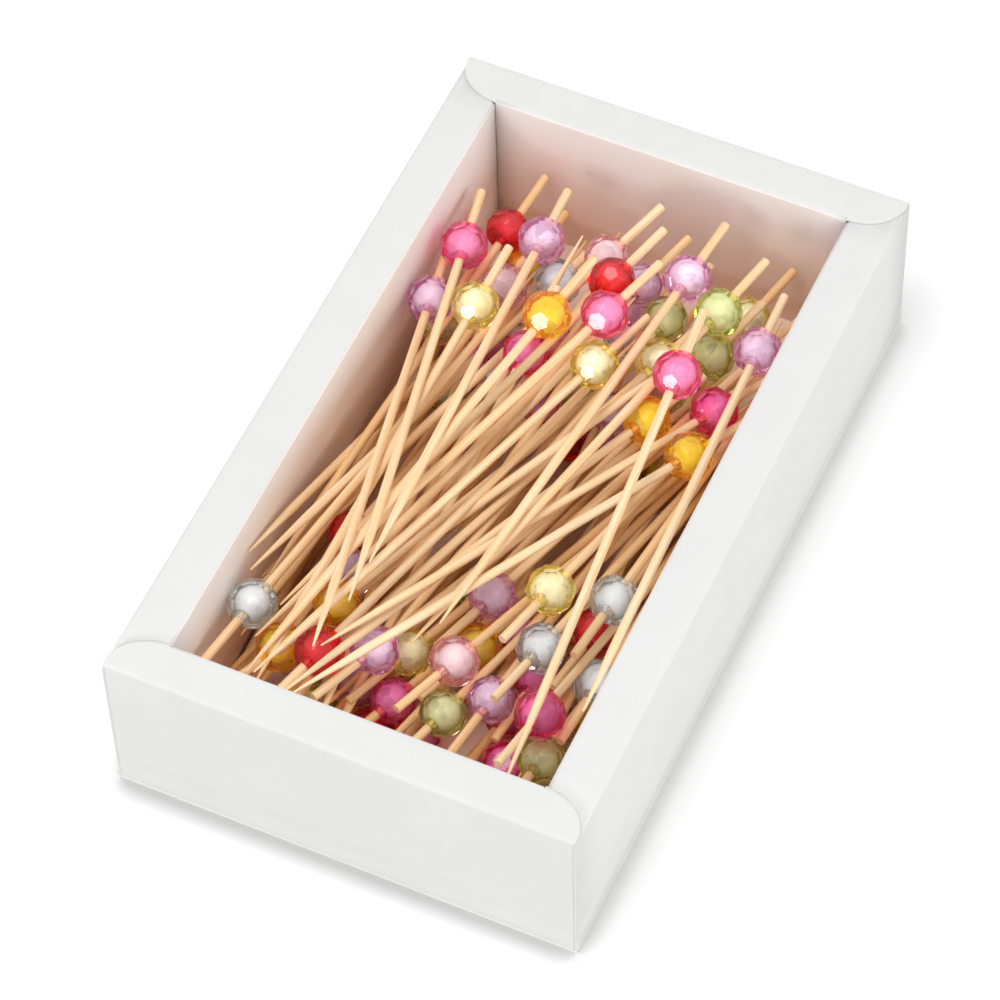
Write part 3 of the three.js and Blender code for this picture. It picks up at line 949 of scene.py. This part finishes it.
def add_side_wall(name, node_name, turned):
    """A long wall, whose rim ends under the end walls' ears."""
    up, outer, flat, inner, down = fold_profile(SIDE_RIM, SIDE_TOP)
    rim_end = HALF_LENGTH - CARD - CORNER_GAP
    ends = [HALF_LENGTH] * (len(up) + len(outer) - 1) + [rim_end] * (len(flat) + 1)
    ends += [INNER_Y - INNER_GAP] * (len(inner) + len(down))
    profile = up + outer + flat + inner + down
    points, rows = [], []
    for (t, z), end in zip(profile, ends):
        row = []
        for y in spread(-end, end, LONG_STEPS):
            row.append(len(points))
            points.append(Vector((HALF_WIDTH - t, y, z)))
        rows.append(row)
    add_card(name, points, grid_faces(rows), node_name, turned)


def add_end_wall(name, node_name, turned):
    """The end wall with an ear over each side rim, whose free edge is a quarter arc."""
    up, outer, flat, inner, down = fold_profile(END_RIM, TRAY_HEIGHT)
    wall_end = HALF_WIDTH - CARD - CORNER_GAP
    inner_end = INNER_X - CORNER_GAP
    ear_end = HALF_WIDTH - EAR_INSET
    r = CREASE_RADIUS
    lip = r + EAR_LIP
    points = []

    def corner(x, t, z):
        points.append(Vector((x, HALF_LENGTH - t, z)))
        return len(points) - 1

    columns = spread(-inner_end, inner_end, LONG_STEPS)
    rows = [[corner(x, t, z) for x in columns] for t, z in up + outer + flat + inner + down]
    faces = grid_faces(rows)
    shared = len(up) + len(outer) + len(flat)
    shares = [(t - r) / (END_RIM - r) for t, _ in [outer[-1], *flat]] + [1.0]
    for side in (-1, 1):
        before = [rows[i][0 if side < 0 else -1] for i in range(shared)]
        before.append(corner(side * inner_end, END_RIM, TRAY_HEIGHT))
        for k in range(1, EAR_STEPS + 1):
            turn = math.pi / 2 * (1 - k / EAR_STEPS)
            reach = inner_end + (ear_end - inner_end) * math.cos(turn)
            end = lip + (END_RIM - lip) * math.sin(turn)
            column = []
            for t, z in up + outer[:-1]:
                risen = max(0, (z - TRAY_HEIGHT + r) / r)
                tucked = min(reach, wall_end + (reach - wall_end) * risen)
                column.append(corner(side * tucked, t, z))
            for share in shares:
                column.append(corner(side * reach, r + (end - r) * share, TRAY_HEIGHT))
            for i in range(len(column) - 1):
                faces.append([before[i], column[i], column[i + 1], before[i + 1]])
            before = column
    add_card(name, points, faces, node_name, turned)


add_side_wall("right_side_card", "side_wall_right", False)
add_side_wall("left_side_card", "side_wall_left", True)
add_end_wall("far_end_card", "end_wall_far", False)
add_end_wall("near_end_card", "end_wall_near", True)
floor_node = frame["nodes"]["tray_floor"]
floor_node.data.materials.clear()
floor_node.data.materials.append(WHITE_CARD)


# Stage, lamps and camera


def background_share(tree):
    """1 for rays that show the background: from the camera, mirrored, or through the beads."""
    path = node(tree, "ShaderNodeLightPath")
    share = path.outputs["Is Camera Ray"]
    for kind in ("Is Glossy Ray", "Is Transmission Ray"):
        either = node(tree, "ShaderNodeMath", operation="MAXIMUM")
        link(tree, share, either.inputs[0])
        link(tree, path.outputs[kind], either.inputs[1])
        share = either.outputs["Value"]
    return share


def table_material():
    """A white table with a faint glow of its own and the tray's contact shadow."""
    material, tree, output = new_material("table")
    place = place_on(tree)
    clouds = ramp(tree, noise(tree, place, 30.0), TABLE_COLOURS)
    near = node(tree, "ShaderNodeAmbientOcclusion", samples=CONTACT_SAMPLES)
    near.inputs["Distance"].default_value = CONTACT_REACH
    before = ramp(tree, near.outputs["AO"], CONTACT_BEFORE)
    beside = ramp(tree, near.outputs["AO"], CONTACT_BESIDE)
    y = axes_of(tree, place)["Y"]
    front = low_share(tree, y, CONTACT_TURN - HALF_LENGTH, -CONTACT_TURN - HALF_LENGTH)
    contact = mixed(tree, "MIX", front, beside, before)
    seen = mixed(tree, "MULTIPLY", 1.0, clouds, contact)
    lit = node(tree, "ShaderNodeBsdfDiffuse")
    link(tree, seen, lit.inputs["Color"])
    glow = node(tree, "ShaderNodeEmission", Strength=FLOOR_GLOW)
    link(tree, seen, glow.inputs["Color"])
    both = node(tree, "ShaderNodeAddShader")
    link(tree, lit.outputs["BSDF"], both.inputs[0])
    link(tree, glow.outputs["Emission"], both.inputs[1])
    shown = both.outputs["Shader"]
    dull = node(tree, "ShaderNodeBsdfDiffuse", Color=TABLE_UNSEEN).outputs["BSDF"]
    link(tree, chosen(tree, background_share(tree), dull, shown), output.inputs["Surface"])
    return material


def add_table():
    mesh = bpy.data.meshes.new("table")
    far = TABLE_HALF
    corners = [(-far, -far, 0), (far, -far, 0), (far, far, 0), (-far, far, 0)]
    mesh.from_pydata(corners, [], [(0, 1, 2, 3)])
    mesh.materials.append(table_material())
    table = bpy.data.objects.new("table", mesh)
    bpy.context.scene.collection.objects.link(table)


def add_lamp(name, direction, distance, size, radiance):
    """A square lamp that faces the tray and shines with that radiance."""
    data = bpy.data.lights.new(name, "AREA")
    data.shape = "SQUARE"
    data.size = size
    data.energy = radiance * math.pi * size * size
    lamp = bpy.data.objects.new(name, data)
    bpy.context.scene.collection.objects.link(lamp)
    direction = direction.normalized()
    lamp.location = direction * distance + LAMP_AIM
    lamp.rotation_euler = direction.to_track_quat("Z", "Y").to_euler()


def add_world():
    """Even light on the object, and a white background."""
    world = bpy.data.worlds.new("studio")
    bpy.context.scene.world = world
    world.use_nodes = True
    tree = world.node_tree
    tree.nodes.clear()
    output = tree.nodes.new("ShaderNodeOutputWorld")
    light, white = [
        node(tree, "ShaderNodeBackground", Color=(1, 1, 1, 1), Strength=strength)
        for strength in (WORLD_LIGHT, WORLD_WHITE)
    ]
    dim, shown = light.outputs["Background"], white.outputs["Background"]
    link(tree, chosen(tree, background_share(tree), dim, shown), output.inputs["Surface"])


def add_camera():
    data = bpy.data.cameras.new("camera")
    data.lens = CAMERA_LENS
    data.sensor_width = CAMERA_SENSOR
    data.clip_start = CAMERA_NEAR
    data.clip_end = CAMERA_FAR
    camera = bpy.data.objects.new("camera", data)
    bpy.context.scene.collection.objects.link(camera)
    up = CAMERA_RIGHT.cross(CAMERA_FORWARD)
    turn = Matrix((CAMERA_RIGHT, up, -CAMERA_FORWARD)).transposed().to_4x4()
    camera.matrix_world = Matrix.Translation(CAMERA_PLACE) @ turn
    bpy.context.scene.camera = camera


add_table()
add_world()
add_camera()
for lamp in LAMPS:
    add_lamp(*lamp)

bpy.context.scene.view_settings.view_transform = "Standard"
